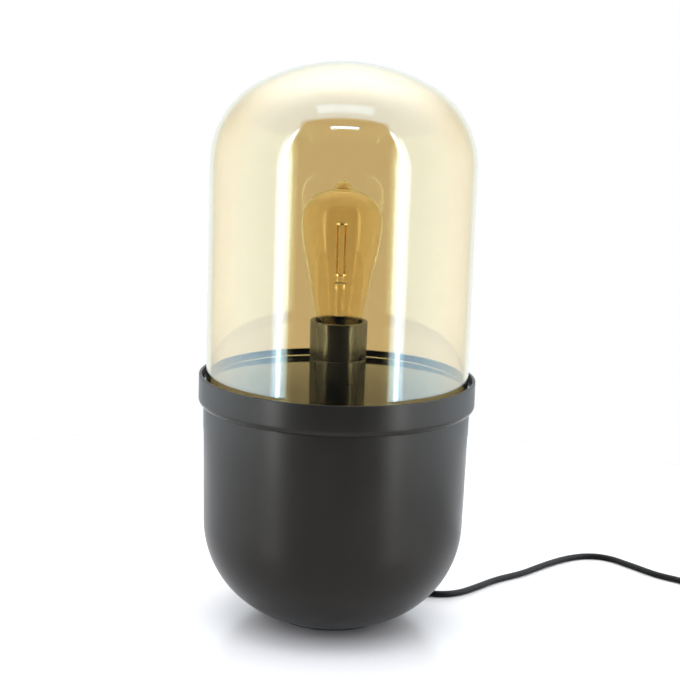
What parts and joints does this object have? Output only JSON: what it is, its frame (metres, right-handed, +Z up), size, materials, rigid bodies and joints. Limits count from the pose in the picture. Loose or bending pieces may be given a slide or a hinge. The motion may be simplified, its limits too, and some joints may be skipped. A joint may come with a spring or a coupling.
{
  "type": "table lamp",
  "caption": "Table lamp with a rounded black metal base, a collar that holds a tall amber glass dome, a screw-in bulb under it, and a corded rocker switch.",
  "frame": {"origin": "on the surface that the lamp stands on, under the axis of its base and dome", "axes": "+Z up along the lamp's axis, -Y towards the front as pictured, +X to the right, the lead leaves at the back towards +Y"},
  "size_m": [0.5281, 0.3038, 0.445],
  "materials": {
    "felt": "black felt",
    "black_paint": "satin black powder coat",
    "deck_lacquer": "gloss black lacquer",
    "cast_iron": "cast and turned",
    "zinc_steel": "zinc plated",
    "brass": "plain",
    "amber_glass": "clear amber glass",
    "bulb_amber": "clear amber glass",
    "clear_glass": "clear",
    "black_glass": "black glass insulator",
    "porcelain": "glazed porcelain",
    "holder_black": "gloss black moulding",
    "cap_metal": "nickel plated brass",
    "solder": "solder",
    "filament": "yellow phosphor coating",
    "cord_black": "matt black",
    "switch_black": "fine matt texture",
    "wire_brown": "brown insulation",
    "wire_blue": "blue insulation"
  },
  "bodies": {
    "base": {"foot_pad": "felt", "bowl_shell": "black_paint", "collar_ring": "black_paint", "ballast_plate": "cast_iron", "ballast_screws": "zinc_steel", "tie_rod": "zinc_steel", "rod_nut": "zinc_steel", "bridge": "zinc_steel", "bridge_washer": "zinc_steel", "bridge_nut": "zinc_steel", "deck_plate": "deck_lacquer", "nipple": "brass", "nipple_washer": "zinc_steel", "nipple_nut": "brass", "holder_base": "holder_black", "holder_sleeve": "holder_black", "holder_core": "porcelain", "screw_shell": "brass", "contact_blade": "brass", "terminal_blocks": "brass", "terminal_screws": "zinc_steel", "live_wire": "wire_brown", "neutral_wire": "wire_blue", "strain_relief": "cord_black", "inner_lead": "cord_black", "cord_clip": "zinc_steel", "clip_screws": "zinc_steel", "cord_lead": "cord_black", "cord_link": "cord_black", "cord_coil": "cord_black", "cord_tail": "cord_black", "switch_base": "switch_black", "switch_cover": "switch_black", "switch_screws": "zinc_steel", "rocker_pin": "zinc_steel", "switch_contacts": "brass", "switch_wire_in": "wire_brown", "switch_wire_out": "wire_brown", "switch_wire_through": "wire_blue", "plug_body": "cord_black", "plug_pins": "cap_metal"},
    "dome": {"glass_dome": "amber_glass"},
    "bulb_lift": {"bulb_eyelet": "solder"},
    "bulb": {"bulb_insulator": "black_glass", "bulb_cap": "cap_metal", "bulb_glass": "bulb_amber", "bulb_stem": "clear_glass", "led_filaments": "filament", "support_wires": "cap_metal"},
    "rocker": {"switch_rocker": "switch_black", "contact_bridge": "brass"}
  },
  "joints": [
    {"name": "dome_lift", "type": "slide", "parent": "base", "child": "dome", "axis": [0, 0, 1], "range_m": [0, 0.17]},
    {"name": "bulb_rise", "type": "slide", "parent": "base", "child": "bulb_lift", "axis": [0, 0, 1], "range_m": [0, 0.0146]},
    {"name": "bulb_turn", "type": "hinge", "parent": "bulb_lift", "child": "bulb", "pos_m": [0, 0, 0.2115], "axis": [0, 0, 1], "range_deg": [0, 1440]},
    {"name": "switch_rock", "type": "hinge", "parent": "base", "child": "rocker", "pos_m": [0.3556, 0.0523, 0.0156], "axis": [0.6, 0.8, 0], "range_deg": [0, 16]}
  ],
  "couplings": [
    {"joint": "bulb_rise", "follows": "bulb_turn", "m_per_rad": 0.00057751}
  ]
}
